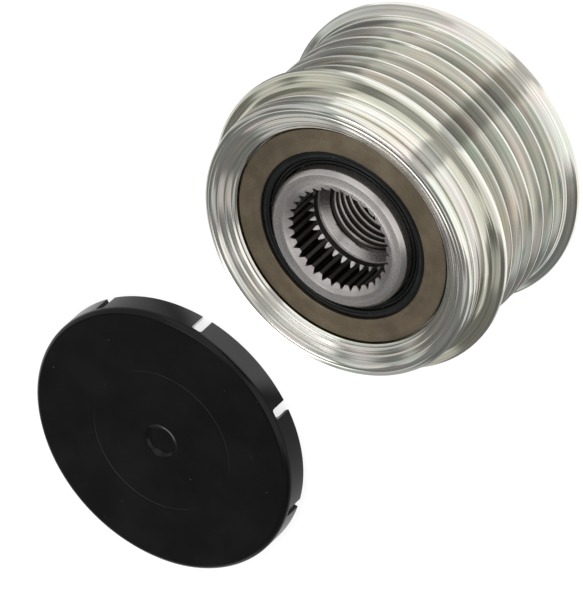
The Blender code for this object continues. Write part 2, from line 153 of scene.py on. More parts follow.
def blended(tree, factor, first, second):
    """A colour mixed from two others."""
    node = add_node(tree, "Mix", data_type="RGBA")
    for index, value in ((0, factor), (6, first), (7, second)):
        if isinstance(value, bpy.types.NodeSocket):
            tree.links.new(value, node.inputs[index])
        elif index:
            node.inputs[index].default_value = (*value, 1)
        else:
            node.inputs[index].default_value = value
    return node.outputs[2]


def between(tree, value, low, high, soft):
    """A mask that is 1 from one value to another, with soft ends."""
    rise = stepped(tree, value, 0.0, 1.0, low - soft, low + soft)
    fall = stepped(tree, value, 1.0, 0.0, high - soft, high + soft)
    return calc(tree, "MULTIPLY", rise, fall)


def around_axis(tree, place):
    """A place as x, y, height and distance from the Z axis."""
    x, y, z = add_node(tree, "SeparateXYZ", {0: place}).outputs
    square = calc(tree, "ADD", calc(tree, "MULTIPLY", x, x), calc(tree, "MULTIPLY", y, y))
    return x, y, z, calc(tree, "SQRT", square)


print("helpers:", ", ".join(f.__name__ for f in (add_node, calc, stepped, blended, between, around_axis)))

# %% [markdown]
# ## The studio
#
# Bright metal shows what stands round it, so the studio is half of its looks. Such a part
# stands in a tent of white cloth with soft lamps behind it, and the bands on the zinc are
# pictures of those lamps. Here one world shader paints the tent by direction. Each lamp
# fills a span of azimuths and a span of heights, in degrees, and shines with its own
# strength over a dim ground. The camera's side lies at an azimuth of -90. Where each lamp
# stands was found by asking which way a bright patch on the turned metal looks.
#
# The camera itself sees plain white. The floor is pale and glows a little, so that it comes
# out white and still keeps a soft shadow, and the lamps go on in it for reflections alone.

# %% Light tent
TENT_DIM = 0.24
CAMERA_SIDE = (-165, -10)
CAMERA_SIDE_EDGE = 12
CAMERA_SIDE_GLOW = 0.45
LAMP_EDGE = 3
LAMPS = {
    # name: (azimuth from, azimuth to, height from, height to, strength)
    "left lamp": (-158, -99, -90, 60, 1.3),
    "left floor": (-190, -156, -90, 4, 1.15),
    "far left floor": (160, 190, -90, 4, 0.75),
    "left shoulder": (-190, -105, 48, 72, 1.35),
    "far left shoulder": (132, 190, 44, 56, 0.65),
    "right lamp": (-82, -24, -90, 66, 1.35),
    "right shoulder": (-26, 30, 36, 58, 0.95),
    "right wall": (-24, 46, 0, 38, 0.8),
    "far strip": (82, 100, -90, 34, 2.9),
    "far wall": (102, 128, -90, 22, 0.7),
    "far floor": (34, 80, -90, 4, 0.9),
    "roof panel": (14, 70, 65, 84, 3.4),
}


def studio_light(tree, place, height=None):
    """What shines from a direction: each lamp fills a span of azimuths and of heights."""
    x, y, z = add_node(tree, "SeparateXYZ", {0: place}).outputs
    turn = calc(tree, "DEGREES", calc(tree, "ARCTAN2", y, x))
    if height is None:
        height = calc(tree, "DEGREES", calc(tree, "ARCSINE", z))
    camera_side = between(tree, turn, *CAMERA_SIDE, CAMERA_SIDE_EDGE)
    level = calc(tree, "ADD", TENT_DIM, calc(tree, "MULTIPLY", camera_side, CAMERA_SIDE_GLOW))
    for left, right, low, high, strength in LAMPS.values():
        across = between(tree, turn, left, right, LAMP_EDGE)
        lit = calc(tree, "MULTIPLY", across, between(tree, height, low, high, LAMP_EDGE))
        level = add_node(tree, "Mix", {0: lit, 2: level, 3: strength}, data_type="FLOAT").outputs[0]
    return level


def paint_tent():
    """The world: white for the camera, a dim tent with lamps in it for everything else."""
    world = bpy.data.worlds.new("light_tent")
    bpy.context.scene.world = world
    world.use_nodes = True
    tree = world.node_tree
    background = tree.nodes["Background"]
    level = studio_light(tree, add_node(tree, "TexCoord").outputs["Generated"])
    rays = add_node(tree, "LightPath")
    seen = calc(tree, "MAXIMUM", rays.outputs["Is Camera Ray"], rays.outputs["Is Transmission Ray"])
    level = add_node(tree, "Mix", {0: seen, 2: level, 3: 1.0}, data_type="FLOAT").outputs[0]
    tree.links.new(level, background.inputs["Strength"])
    background.inputs["Color"].default_value = (1, 1, 1, 1)
    print("tent has", len(LAMPS), "lamps")


paint_tent()

# %% Floor
FLOOR_HALF = 3.0
FLOOR_GLOW = 0.8
FLOOR_TONE = 0.36
FLOOR_DROP = 0.02
FLOOR_ELEVATION = -30.0


def lay_floor():
    """A wide pale floor that keeps the shadow, with the lamps in it for glossy rays."""
    mesh = bpy.data.meshes.new("floor")
    corners = [(-FLOOR_HALF, -FLOOR_HALF, 0), (FLOOR_HALF, -FLOOR_HALF, 0),
               (FLOOR_HALF, FLOOR_HALF, 0), (-FLOOR_HALF, FLOOR_HALF, 0)]
    mesh.from_pydata(corners, [], [(0, 1, 2, 3)])
    floor = add_object("floor", mesh)
    floor.location.z = -FLOOR_DROP * MM
    material = bpy.data.materials.new("pale_floor")
    material.use_nodes = True
    material.cycles.emission_sampling = "NONE"
    mesh.materials.append(material)
    tree = material.node_tree
    tree.nodes.remove(tree.nodes["Principled BSDF"])
    matt = add_node(tree, "BsdfDiffuse", {"Color": (FLOOR_TONE,) * 3 + (1,)})
    glow = add_node(tree, "Emission", {"Strength": FLOOR_GLOW})
    pale = add_node(tree, "AddShader", {0: matt.outputs[0], 1: glow.outputs[0]})
    place = add_node(tree, "TexCoord").outputs["Object"]
    place = add_node(tree, "VectorMath", {0: place, 1: PULLEY_AXIS}, operation="SUBTRACT").outputs[0]
    lamps = add_node(tree, "Emission", {"Strength": studio_light(tree, place, FLOOR_ELEVATION)})
    glossy = add_node(tree, "LightPath").outputs["Is Glossy Ray"]
    mixed = add_node(tree, "MixShader", {0: glossy, 1: pale.outputs[0], 2: lamps.outputs[0]})
    tree.links.new(mixed.outputs[0], tree.nodes["Material Output"].inputs["Surface"])
    print("floor", 2 * FLOOR_HALF, "m square")


lay_floor()

# %% [markdown]
# ## Effects that several finishes share
#
# Each effect is a node group that puts out masks or heights, which a material then mixes
# into its colour, roughness and bump. The first one is the mark of the lathe: fine lines
# that run round the axis. Noise is read at (radius, height) at a high rate, and at the
# sine and cosine of the angle at a low one, so the lines are long, join up, and fade in
# and out as they go round.

# %% Group helper
def new_group(name, inputs, outputs):
    """An empty node group; inputs and outputs are (name, kind, default) and (name, kind)."""
    group = bpy.data.node_groups.new(name, "ShaderNodeTree")
    for label, kind, default in inputs:
        socket = group.interface.new_socket(label, in_out="INPUT", socket_type="NodeSocket" + kind)
        if default is not None:
            socket.default_value = default
    for label, kind in outputs:
        group.interface.new_socket(label, in_out="OUTPUT", socket_type="NodeSocket" + kind)
    return group, group.nodes.new("NodeGroupInput"), group.nodes.new("NodeGroupOutput")


def use_group(tree, group, **values):
    """Places a group in a material; a value's name is the socket's, with _ for a space."""
    node = add_node(tree, "Group")
    node.node_tree = group
    for key, value in values.items():
        socket = node.inputs[key.replace("_", " ").capitalize()]
        if isinstance(value, bpy.types.NodeSocket):
            tree.links.new(value, socket)
        else:
            socket.default_value = value
    return node


print("helpers:", new_group.__name__, "and", use_group.__name__)

# %% Turning lines
LINE_SETS = {
    # name: (share of the full rate, detail of the noise)
    "Fine": (1.0, 2.0),
    "Coarse": (0.3, 3.0),
    "Bands": (0.07, 2.0),
}
LINE_ROUGHNESS = 0.55


def make_turning_lines():
    """Lines round the Z axis: a fine set, a coarse set and slow bands."""
    inputs = [("Place", "Vector", None), ("Lines per mm", "Float", 4.0), ("Drift", "Float", 0.6)]
    outputs = [("Fine", "Float"), ("Coarse", "Float"), ("Bands", "Float")]
    group, start, end = new_group("turning_lines", inputs, outputs)
    x, y, z, radius = around_axis(group, start.outputs["Place"])
    drift = start.outputs["Drift"]
    cosine = calc(group, "MULTIPLY", calc(group, "DIVIDE", x, radius), drift)
    sine = calc(group, "MULTIPLY", calc(group, "DIVIDE", y, radius), drift)
    rate = calc(group, "MULTIPLY", start.outputs["Lines per mm"], 1 / MM)
    for label, (share, detail) in LINE_SETS.items():
        pace = calc(group, "MULTIPLY", rate, share)
        where = add_node(group, "CombineXYZ", {0: calc(group, "MULTIPLY", radius, pace),
                                               1: calc(group, "MULTIPLY", z, pace), 2: cosine})
        noise = add_node(group, "TexNoise", {
            "Vector": where.outputs[0], "W": sine, "Scale": 1.0,
            "Detail": detail, "Roughness": LINE_ROUGHNESS}, noise_dimensions="4D")
        group.links.new(noise.outputs[0], end.inputs[label])
    return group


TURNING_LINES = make_turning_lines()
print("group", TURNING_LINES.name)

# %% [markdown]
# The second effect is a film of colour. Zinc plate is passivated in a bath that leaves a
# very thin film, and its tint wanders between grey, straw, a faint green and a faint pink.
# The group mixes four tints by three slow noises that are stretched round the axis.

# %% Film tint
FILM_TINTS = {"Plain": (0.66, 0.655, 0.605), "Straw": (0.7, 0.65, 0.53),
              "Green": (0.55, 0.63, 0.555), "Rose": (0.7, 0.62, 0.585)}
FILM_TURNS = 2.2
FILM_RATE = 260
FILM_RATE_STEP = 90
FILM_SEED_STEP = 3.7
FILM_SHARES = (0.0, 0.85)
FILM_SPAN = (0.46, 0.72)


def make_film_tint():
    """Four tints that wander slowly over a turned surface."""
    inputs = [("Place", "Vector", None)]
    inputs += [(label, "Color", (*tint, 1)) for label, tint in FILM_TINTS.items()]
    inputs += [("Scale", "Float", 1.0)]
    group, start, end = new_group("film_tint", inputs, [("Tint", "Color")])
    x, y, z, radius = around_axis(group, start.outputs["Place"])
    tint = start.outputs["Plain"]
    for i, label in enumerate(("Straw", "Green", "Rose")):
        rate = FILM_RATE + FILM_RATE_STEP * i
        where = add_node(group, "CombineXYZ", {
            0: calc(group, "MULTIPLY", calc(group, "DIVIDE", x, radius), FILM_TURNS),
            1: calc(group, "MULTIPLY", calc(group, "DIVIDE", y, radius), FILM_TURNS),
            2: calc(group, "MULTIPLY", calc(group, "ADD", radius, z), rate)})
        noise = add_node(group, "TexNoise", {
            "Vector": where.outputs[0], "W": FILM_SEED_STEP * i, "Scale": start.outputs["Scale"],
            "Detail": 3.0, "Roughness": 0.6}, noise_dimensions="4D")
        share = stepped(group, noise.outputs[0], *FILM_SHARES, *FILM_SPAN)
        tint = blended(group, share, tint, start.outputs[label])
    group.links.new(tint, end.inputs["Tint"])
    return group


FILM_TINT = make_film_tint()
print("group", FILM_TINT.name, "with", len(FILM_TINTS), "tints")

# %% [markdown]
# The third effect is dust and tiny pits: single specks, far apart, from the cells of a
# Voronoi pattern. The fourth is a soft grain, as on a phosphated or moulded surface.

# %% Specks and grain
GRAIN_SETS = {"Fine": 1.0, "Broad": 0.04}


def make_specks():
    """A mask of single small specks; Share is how many of the cells hold one."""
    inputs = [("Place", "Vector", None), ("Per mm", "Float", 1.0),
              ("Share", "Float", 0.1), ("Size", "Float", 0.2)]
    group, start, end = new_group("specks", inputs, [("Mask", "Float")])
    rate = calc(group, "MULTIPLY", start.outputs["Per mm"], 1 / MM)
    cells = add_node(group, "TexVoronoi", {"Vector": start.outputs["Place"], "Scale": rate})
    chance = add_node(group, "SeparateColor", {0: cells.outputs["Color"]})
    picked = calc(group, "LESS_THAN", chance.outputs[0], start.outputs["Share"])
    size = calc(group, "MULTIPLY", start.outputs["Size"], chance.outputs[1])
    near = calc(group, "LESS_THAN", cells.outputs["Distance"], size)
    group.links.new(calc(group, "MULTIPLY", picked, near), end.inputs["Mask"])
    return group


def make_grain():
    """Fine and broad unevenness of a surface that isn't turned."""
    inputs = [("Place", "Vector", None), ("Per mm", "Float", 3.0)]
    group, start, end = new_group("grain", inputs, [("Fine", "Float"), ("Broad", "Float")])
    rate = calc(group, "MULTIPLY", start.outputs["Per mm"], 1 / MM)
    for label, share in GRAIN_SETS.items():
        noise = add_node(group, "TexNoise", {
            "Vector": start.outputs["Place"], "Detail": 4.0, "Roughness": 0.6,
            "Scale": calc(group, "MULTIPLY", rate, share)})
        group.links.new(noise.outputs[0], end.inputs[label])
    return group


SPECKS, GRAIN = make_specks(), make_grain()
print("groups", SPECKS.name, GRAIN.name)

# %% [markdown]
# ## The finishes
#
# A turned surface is a bundle of tiny grooves, so its highlight spreads across them and
# stays narrow along them. The Principled shader does this with Anisotropic and a tangent
# that runs round Z, turned by a quarter so that the spread crosses the lines. Blender's
# noise stays mostly between 0.3 and 0.7, so this span of it is mapped to each range wanted.

# %% Material helpers
QUARTER_TURN = 0.25
NOISE_SPAN = (0.3, 0.7)
NARROW_SPAN = (0.35, 0.65)


def new_material(name, metallic=0.0, roughness=0.5, anisotropic=0.0):
    """A Principled material, its node tree, its shader and the place on the surface."""
    material = bpy.data.materials.new(name)
    material.use_nodes = True
    tree = material.node_tree
    shader = tree.nodes["Principled BSDF"]
    shader.inputs["Metallic"].default_value = metallic
    shader.inputs["Roughness"].default_value = roughness
    shader.inputs["Anisotropic"].default_value = anisotropic
    if anisotropic:
        shader.inputs["Anisotropic Rotation"].default_value = QUARTER_TURN
        tangent = add_node(tree, "Tangent", direction_type="RADIAL", axis="Z")
        tree.links.new(tangent.outputs[0], shader.inputs["Tangent"])
    place = add_node(tree, "TexCoord").outputs["Object"]
    return material, tree, shader, place


def add_bump(tree, shader, height, depth, strength=1.0):
    """Feeds a height through a bump into the shader's normal; depth is in millimetres."""
    bump = add_node(tree, "Bump", {"Height": height, "Distance": depth * MM, "Strength": strength})
    tree.links.new(bump.outputs[0], shader.inputs["Normal"])


def shaded(tree, colour, tone):
    """A colour made lighter or darker by a tone."""
    return add_node(tree, "VectorMath", {0: colour, 1: tone}, operation="MULTIPLY").outputs[0]


def product(tree, first, *others):
    """The product of several values."""
    for value in others:
        first = calc(tree, "MULTIPLY", first, value)
    return first


def mottled(tree, grain, first, second):
    """Two colours mixed in broad patches."""
    share = stepped(tree, grain.outputs["Broad"], 0.0, 1.0, *NARROW_SPAN)
    return blended(tree, share, first, second)


print("noise spans", NOISE_SPAN, "and", NARROW_SPAN)

# %% [markdown]
# ## Zinc plate
#
# The pulley is turned from mild steel and plated with zinc, bright and hardly rough, so it
# is the lines of the lathe that break up its reflections. A bump makes them, and it fades
# out at the inner edge of the front face, where the steps are finer than the lines. The belt
# grooves get painted shade in their colour, darkest at their floors, and on the cone
# behind the nose the film of the bath is thickest and looks olive.

# %% Zinc plate
TRACK_HEIGHTS = (3.0, 24.6)
TRACK_RADII = (26.9, 27.3)
GROOVE_DEPTH_RADII = (24.3, 26.4)
GROOVE_FLOOR_SHADE = (0.5, 0.08)
OLIVE_HEIGHTS = (26.7, 28.6)
OLIVE_FILM = (0.575, 0.57, 0.46)
OLIVE_SHARE = 0.85
COARSE_TONES = (0.74, 1.1)
COARSE_SPAN = (0.34, 0.62)
FINE_TONES = (0.86, 1.12)
FINE_SPAN = (0.36, 0.6)
ZINC_ROUGHNESS = (0.08, 0.17)
FINE_HEIGHT = 0.15
RIM_BUMP = (0.12, 1.0)
RIM_BUMP_RADII = (21.1, 22.2)
LINE_DEPTH = 0.045


def between_heights(tree, z, heights, soft):
    """A mask between two heights in millimetres."""
    return between(tree, calc(tree, "DIVIDE", z, MM), *heights, soft)


def stepped_out(tree, radius, low, high, radii):
    """A value that changes between two distances from the axis, in millimetres."""
    return stepped(tree, radius, low, high, radii[0] * MM, radii[1] * MM)


def make_zinc():
    """Bright zinc over turned steel."""
    material, tree, shader, place = new_material("zinc_plate", metallic=1.0,
                                                 roughness=0.12, anisotropic=0.7)
    lines = use_group(tree, TURNING_LINES, place=place)
    tint = use_group(tree, FILM_TINT, place=place).outputs[0]
    z, radius = around_axis(tree, place)[2:]
    track = between_heights(tree, z, TRACK_HEIGHTS, soft=0.3)
    track = calc(tree, "MULTIPLY", track, stepped_out(tree, radius, 1.0, 0.0, TRACK_RADII))
    # painted shade: the colour of the belt grooves is darkened, most of all at their floors
    groove_shade = stepped_out(tree, radius, *GROOVE_FLOOR_SHADE, GROOVE_DEPTH_RADII)
    streak_and_shade = stepped(tree, lines.outputs["Coarse"], *COARSE_TONES, *COARSE_SPAN)
    streak_and_shade = product(tree, streak_and_shade, calc(tree, "SUBTRACT", 1.0, calc(tree, "MULTIPLY", track, groove_shade)),
                     stepped(tree, lines.outputs["Fine"], *FINE_TONES, *FINE_SPAN))
    thick = calc(tree, "MULTIPLY", between_heights(tree, z, OLIVE_HEIGHTS, soft=0.35), OLIVE_SHARE)
    tint = blended(tree, thick, tint, OLIVE_FILM)
    tree.links.new(shaded(tree, tint, streak_and_shade), shader.inputs["Base Color"])
    rough = stepped(tree, lines.outputs["Bands"], *ZINC_ROUGHNESS, *NOISE_SPAN)
    tree.links.new(rough, shader.inputs["Roughness"])
    fine = calc(tree, "MULTIPLY", lines.outputs["Fine"], FINE_HEIGHT)
    height = calc(tree, "ADD", fine, lines.outputs["Coarse"])
    height = calc(tree, "MULTIPLY", height, stepped_out(tree, radius, *RIM_BUMP, RIM_BUMP_RADII))
    add_bump(tree, shader, height, depth=LINE_DEPTH, strength=0.8)
    return material


ZINC = make_zinc()
print("finish", ZINC.name)

# %% [markdown]
# ## Bearing and spring steel, phosphate
#
# Races and rollers are ground and the springs are rolled, so both are plain steel with
# faint lines. The pressed rings of the seals are phosphated: a brown, crystalline skin that
# keeps oil, which is darker, rougher and mottled.

# %% Bearing, spring and phosphated steel
STEEL_TONES = (0.88, 1.1)
SKIN_TONES = (0.95, 1.05)
GRAIN_TONES = (0.9, 1.1)
ROUGHNESS_SPREAD = (0.85, 1.2)
SKIN_DARK = (0.165, 0.135, 0.091)
SKIN_PALE = (0.24, 0.196, 0.138)


def make_turned_steel(name, colour, roughness, spread, lines_per_mm, depth):
    """Plain steel with faint lines; spread is the anisotropy, depth the bump in millimetres."""
    material, tree, shader, place = new_material(name, 1.0, roughness, spread)
    lines = use_group(tree, TURNING_LINES, place=place, lines_per_mm=lines_per_mm)
    grain = use_group(tree, GRAIN, place=place)
    tone = calc(tree, "MULTIPLY", stepped(tree, lines.outputs["Coarse"], *STEEL_TONES, *NOISE_SPAN),
                stepped(tree, grain.outputs["Broad"], *GRAIN_TONES, *NOISE_SPAN))
    tree.links.new(shaded(tree, colour, tone), shader.inputs["Base Color"])
    low, high = [roughness * share for share in ROUGHNESS_SPREAD]
    rough = stepped(tree, grain.outputs["Fine"], low, high, *NOISE_SPAN)
    tree.links.new(rough, shader.inputs["Roughness"])
    height = calc(tree, "ADD", lines.outputs["Fine"], grain.outputs["Fine"])
    add_bump(tree, shader, height, depth, strength=0.5)
    return material


def make_phosphate():
    """Mottled brown phosphate."""
    material, tree, shader, place = new_material("phosphated_steel", metallic=1.0,
                                                 roughness=0.45, anisotropic=0.35)
    lines = use_group(tree, TURNING_LINES, place=place)
    grain = use_group(tree, GRAIN, place=place)
    colour = mottled(tree, grain, SKIN_DARK, SKIN_PALE)
    tone = calc(tree, "MULTIPLY", stepped(tree, lines.outputs["Coarse"], *SKIN_TONES, *NOISE_SPAN),
                stepped(tree, grain.outputs["Fine"], *GRAIN_TONES, *NOISE_SPAN))
    tree.links.new(shaded(tree, colour, tone), shader.inputs["Base Color"])
    add_bump(tree, shader, grain.outputs["Fine"], depth=0.01, strength=0.5)
    return material


BEARING_STEEL = make_turned_steel("bearing_steel", colour=(0.56, 0.56, 0.55), roughness=0.2,
                                  spread=0.3, lines_per_mm=6.0, depth=0.002)
SPRING_STEEL = make_turned_steel("spring_steel", colour=(0.46, 0.46, 0.44), roughness=0.32,
                                 spread=0.0, lines_per_mm=5.0, depth=0.004)
PHOSPHATE = make_phosphate()
print("finishes", BEARING_STEEL.name, SPRING_STEEL.name, PHOSPHATE.name)

# %% [markdown]
# ## Bare steel of the hub
#
# The hub is bare steel. The tool that cuts the serrations and the thread leaves oil and a
# brown-black skin in their roots, where nothing rubs it off again, while the crests, the
# countersink and the shelf above the thread stay bright. The near-black of the grooves and
# thread roots is partly that oil and partly painted shade for the shade deep in the socket
# and the thread, and the band below the serrations is painted shade alone. Height and
# radius say where it goes.

# %% Bare hub steel
SOCKET_HEIGHTS = (26.05, 32.75)
SOCKET_RADII = (9.3, 9.6)
INSIDE_RADIUS = 11.0
GROOVE_END = 16.74
GROOVE_END_SOFT = 0.15
BAND_HEIGHTS = (24.55, 25.9)
LEAD_HEIGHTS = (22.5, 24.5)
LEAD_RADIUS = 9.4
THREAD_HEIGHTS = (6.0, 22.9)
THREAD_RADII = (7.28, 7.6)
THREAD_OUTER_RADIUS = 8.3
GROOVE_SHADE_AND_STAIN = (0.78, 1.0)
BAND_PAINTED_SHADE = 0.8
ROOT_SHADE_AND_STAIN = (0.0, 0.97)
SWARF_STAIN = 0.7
STAIN_AND_SHADE = (0.022, 0.017, 0.012)
STAIN_DULLING = 0.12
HUB_PALE = (0.5, 0.465, 0.45)
HUB_GREY = (0.44, 0.42, 0.41)
HUB_TONES = (0.84, 1.12)
HUB_ROUGHNESS = (0.26, 0.36)


def roots_shade_and_stain(tree, z, radius, specks):
    """How dark each place of the hub is: oil and painted shade in the grooves and thread roots, painted shade
    in the band, and real specks of swarf.
    """
    inside = calc(tree, "LESS_THAN", radius, INSIDE_RADIUS * MM)
    past_end = calc(tree, "SUBTRACT", z, radius)
    past_end = stepped_out(tree, past_end, 0.0, 1.0, (GROOVE_END, GROOVE_END + GROOVE_END_SOFT))
    grooves = product(tree, between_heights(tree, z, SOCKET_HEIGHTS, soft=0.15),
                      stepped_out(tree, radius, *GROOVE_SHADE_AND_STAIN, SOCKET_RADII), inside, past_end)
    band = product(tree, between_heights(tree, z, BAND_HEIGHTS, soft=0.1), inside, BAND_PAINTED_SHADE)
    roots = product(tree, between_heights(tree, z, THREAD_HEIGHTS, soft=0.2),
                    stepped_out(tree, radius, *ROOT_SHADE_AND_STAIN, THREAD_RADII),
                    calc(tree, "LESS_THAN", radius, THREAD_OUTER_RADIUS * MM))
    swarf = product(tree, between_heights(tree, z, LEAD_HEIGHTS, soft=0.1),
                    calc(tree, "LESS_THAN", radius, LEAD_RADIUS * MM), specks, SWARF_STAIN)
    # the grooves, the band and the thread roots carry painted shade as well as oil; the swarf specks are real
    shade_and_stain = calc(tree, "MAXIMUM", grooves, band)
    return calc(tree, "MAXIMUM", calc(tree, "MAXIMUM", shade_and_stain, roots), swarf)


def make_hub_steel():
    """Bare steel, bright where it is rubbed, with oil and painted shade in its roots."""
    material, tree, shader, place = new_material("hub_steel", metallic=1.0,
                                                 roughness=0.3, anisotropic=0.4)
    lines = use_group(tree, TURNING_LINES, place=place)
    grain = use_group(tree, GRAIN, place=place)
    specks = use_group(tree, SPECKS, place=place, per_mm=2.6, share=0.3, size=0.3)
    z, radius = around_axis(tree, place)[2:]
    shade_and_stain = roots_shade_and_stain(tree, z, radius, specks.outputs[0])
    steel = mottled(tree, grain, HUB_PALE, HUB_GREY)
    steel = shaded(tree, steel, stepped(tree, lines.outputs["Coarse"], *HUB_TONES, *NOISE_SPAN))
    # painted shade and oil: the roots are mixed towards a near-black colour
    tree.links.new(blended(tree, shade_and_stain, steel, STAIN_AND_SHADE), shader.inputs["Base Color"])
    rough = stepped(tree, grain.outputs["Fine"], *HUB_ROUGHNESS, *NOISE_SPAN)
    rough = calc(tree, "ADD", rough, calc(tree, "MULTIPLY", shade_and_stain, STAIN_DULLING))
    tree.links.new(rough, shader.inputs["Roughness"])
    add_bump(tree, shader, lines.outputs["Coarse"], depth=0.014, strength=0.6)
    return material


HUB_STEEL = make_hub_steel()
print("finish", HUB_STEEL.name)

# %% [markdown]
# ## Rubber and plastic
#
# The seal's rubber and the cap's plastic are nearly black, so their look is all gloss: the
# specular level is kept low and the roughness wanders. A few pale specks of dust lie on
# both. The cages inside are of natural nylon filled with glass, pale and dull.

# %% Rubber and plastic
NYLON_DARK = (0.3, 0.27, 0.2)
NYLON_PALE = (0.36, 0.32, 0.23)
NYLON_ROUGHNESS = (0.42, 0.6)


def make_moulded(name, dark, dust, roughness, gloss, dust_values, depth, strength):
    """Black moulded material; roughness is (low, high), gloss the specular level."""
    material, tree, shader, place = new_material(name)
    shader.inputs["Specular IOR Level"].default_value = gloss
    grain = use_group(tree, GRAIN, place=place)
    specks = use_group(tree, SPECKS, place=place, **dust_values)
    tree.links.new(blended(tree, specks.outputs[0], dark, dust), shader.inputs["Base Color"])
    rough = stepped(tree, grain.outputs["Broad"], *roughness, *NOISE_SPAN)
    tree.links.new(rough, shader.inputs["Roughness"])
    add_bump(tree, shader, grain.outputs["Fine"], depth, strength)
    return material


def make_cage_nylon():
    """Natural nylon filled with glass."""
    material, tree, shader, place = new_material("cage_nylon")
    grain = use_group(tree, GRAIN, place=place)
    tree.links.new(mottled(tree, grain, NYLON_DARK, NYLON_PALE), shader.inputs["Base Color"])
    rough = stepped(tree, grain.outputs["Fine"], *NYLON_ROUGHNESS, *NOISE_SPAN)
    tree.links.new(rough, shader.inputs["Roughness"])
    add_bump(tree, shader, grain.outputs["Fine"], depth=0.02, strength=0.6)
    return material


RUBBER = make_moulded("seal_rubber", dark=(0.004, 0.005, 0.0048), dust=(0.2, 0.21, 0.2),
                      roughness=(0.2, 0.38), gloss=0.3, depth=0.01, strength=0.5,
                      dust_values={"per_mm": 1.3, "share": 0.1, "size": 0.16})
CAP_PLASTIC = make_moulded("cap_plastic", dark=(0.002, 0.002, 0.0019), dust=(0.1, 0.1, 0.09),
                           roughness=(0.15, 0.22), gloss=0.2, depth=0.004, strength=0.4,
                           dust_values={"per_mm": 0.9, "share": 0.05, "size": 0.12})
CAGE_NYLON = make_cage_nylon()
print("materials", len(bpy.data.materials))

# %% [markdown]
# ## Turning a profile
#
# A lathe turns a profile about an axis, and so do the next cells. A profile is a list of
# corners, (radius, height, softness) in millimetres, in order round the section with the
# metal on the right-hand side. No real edge is perfectly sharp, so each corner becomes a
# short curve that leaves and meets its two sides smoothly, and it is this curve that
# catches the thin bright lines seen on machined parts.

# %% Softened profiles
CORNER_STEPS = 5
CORNER_LIMIT = 0.48


def soften(corners, closed=True):
    """Profile points with their normals: [(radius, height, normal out, normal up)]."""
    points = [Vector(c[:2]) for c in corners]
    count = len(points)
    made = []
    for i, corner in enumerate(corners):
        here = points[i]
        if not closed and i in (0, count - 1):
            along = points[1] - here if i == 0 else here - points[i - 1]
            made.append((here, along.normalized()))
            continue
        before, after = points[i - 1], points[(i + 1) % count]
        into, out = here - before, after - here
        reach = min(corner[2], CORNER_LIMIT * into.length, CORNER_LIMIT * out.length)
        start, stop = here - into.normalized() * reach, here + out.normalized() * reach
        for step in range(CORNER_STEPS + 1):
            t = step / CORNER_STEPS
            spot = (1 - t) ** 2 * start + 2 * t * (1 - t) * here + t ** 2 * stop
            along = (1 - t) * (here - start) + t * (stop - here)
            made.append((spot, along.normalized()))
    return [(spot.x, spot.y, -along.y, along.x) for spot, along in made]


trial = soften([(2, 0, 0.1), (2, 1, 0.1), (1, 1, 0.1), (1, 0, 0.1)])
print("a ring of 4 corners has", len(trial), "points when softened")

# %% [markdown]
# The Screw modifier could turn a profile, but it guesses the shading from the faces. Here
# the true normal of each point of the profile is known, and goes straight into the mesh.
# What is turned then gets its finish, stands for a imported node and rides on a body.

# %% The lathe
ON_AXIS = 0.0001


def lathe(name, profile, axis, segments=240, closed=True, height=0.0):
    """A mesh object turned from a softened profile, with its origin on the axis."""
    rings, normals, verts, faces = [], [], [], []
    for radius, z, out, up in profile:
        if radius < ON_AXIS:
            rings.append([len(verts)] * segments)
            verts.append((0, 0, z * MM))
            normals.append((0, 0, math.copysign(1, up)))
            continue
        rings.append(range(len(verts), len(verts) + segments))
        for j in range(segments):
            angle = 2 * math.pi * j / segments
            cosine, sine = math.cos(angle), math.sin(angle)
            verts.append((radius * cosine * MM, radius * sine * MM, z * MM))
            normals.append((out * cosine, out * sine, up))
    pairs = list(zip(rings, rings[1:]))
    if closed:
        pairs.append((rings[-1], rings[0]))
    for first, second in pairs:
        for j in range(segments):
            k = (j + 1) % segments
            corners = (first[j], second[j], second[k], first[k])
            faces.append(tuple(dict.fromkeys(corners)))
    mesh = bpy.data.meshes.new(name)
    mesh.from_pydata(verts, [], [f for f in faces if len(f) > 2])
    mesh.shade_smooth()
    mesh.normals_split_custom_set_from_vertices(normals)
    piece = add_object(name, mesh)
    piece.location = (axis.x, axis.y, height * MM)
    return piece


def dress(piece, node, body, slot, material):
    """Gives a piece its finish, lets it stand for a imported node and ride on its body."""
    piece.data.materials.append(material)
    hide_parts(node)
    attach(piece, body)
    print(piece.name, len(piece.data.polygons), "faces")


print("helpers:", lathe.__name__, "and", dress.__name__)

# %% [markdown]
# ## The belt pulley
#
# The body is turned from one bar: a crowned rim, a narrow groove that the cap snaps into,
# a ridge, a recess and a band, then a cone that runs out to the thin front flange, six V
# grooves for the belt, and the rear flange. The belt grooves are cut with a form tool, so
# their crests and floors are rounded. Shallow steps in the front face are where one pass
# of the tool stopped and the next began.

# %% Pulley profile
GROOVE_COUNT = 6
GROOVE_PITCH = 3.56
FIRST_GROOVE = 5.25
GROOVE_HALF_MOUTH = 1.6
GROOVE_HALF_FLOOR = 0.2925
RIB_RADIUS = 27.4
FLOOR_RADIUS = 24.0
CREST_SOFTNESS = 0.17
FLOOR_SOFTNESS = 0.28
LAND_SOFTNESS = 0.3


def belt_track():
    """The six grooves from the front flange to the rear land."""
    corners = []
    for i in reversed(range(GROOVE_COUNT)):
        middle = FIRST_GROOVE + i * GROOVE_PITCH
        if i < GROOVE_COUNT - 1:
            corners.append((RIB_RADIUS, middle + GROOVE_HALF_MOUTH, CREST_SOFTNESS))
        corners.append((FLOOR_RADIUS, middle + GROOVE_HALF_FLOOR, FLOOR_SOFTNESS))
        corners.append((FLOOR_RADIUS, middle - GROOVE_HALF_FLOOR, FLOOR_SOFTNESS))
        corners.append((RIB_RADIUS, middle - GROOVE_HALF_MOUTH, CREST_SOFTNESS if i else LAND_SOFTNESS))
    return corners


